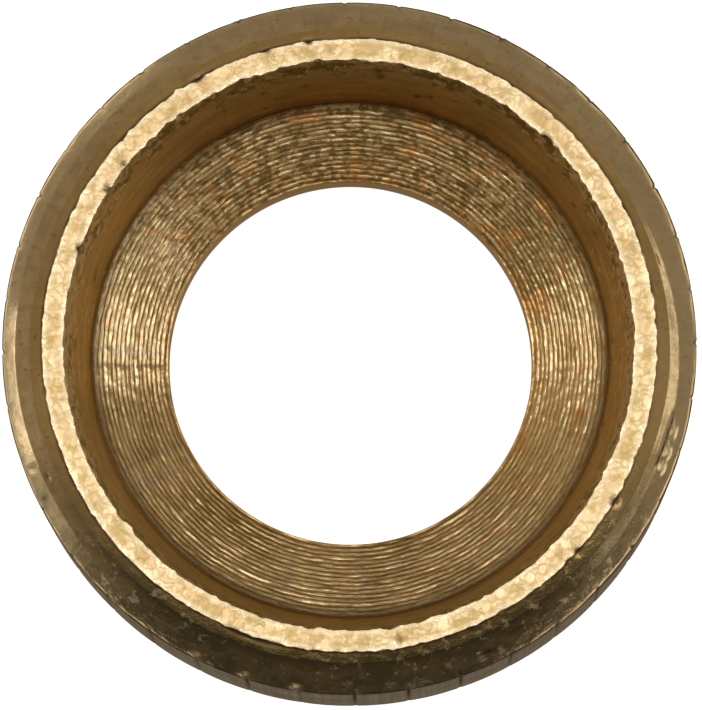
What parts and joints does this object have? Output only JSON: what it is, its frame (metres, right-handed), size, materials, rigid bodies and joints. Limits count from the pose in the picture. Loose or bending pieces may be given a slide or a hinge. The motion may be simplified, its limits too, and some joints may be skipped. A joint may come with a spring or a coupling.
{
  "type": "hose fitting collar",
  "caption": "Short turned brass collar of a hose fitting: bevelled rim round a tapered pocket, grooved drill-cone floor, straight through bore and flat back.",
  "frame": {"origin": "centre of the flat back, on the bore's axis", "axes": "+Z along the bore's axis, from the flat back to the bevelled face; X and Y lie in the back's plane"},
  "size_m": [0.015, 0.015, 0.0072],
  "materials": {
    "brass": "as turned, bright face, duller bevels and pocket"
  },
  "bodies": {
    "root": {"ring": "brass"}
  },
  "joints": []
}
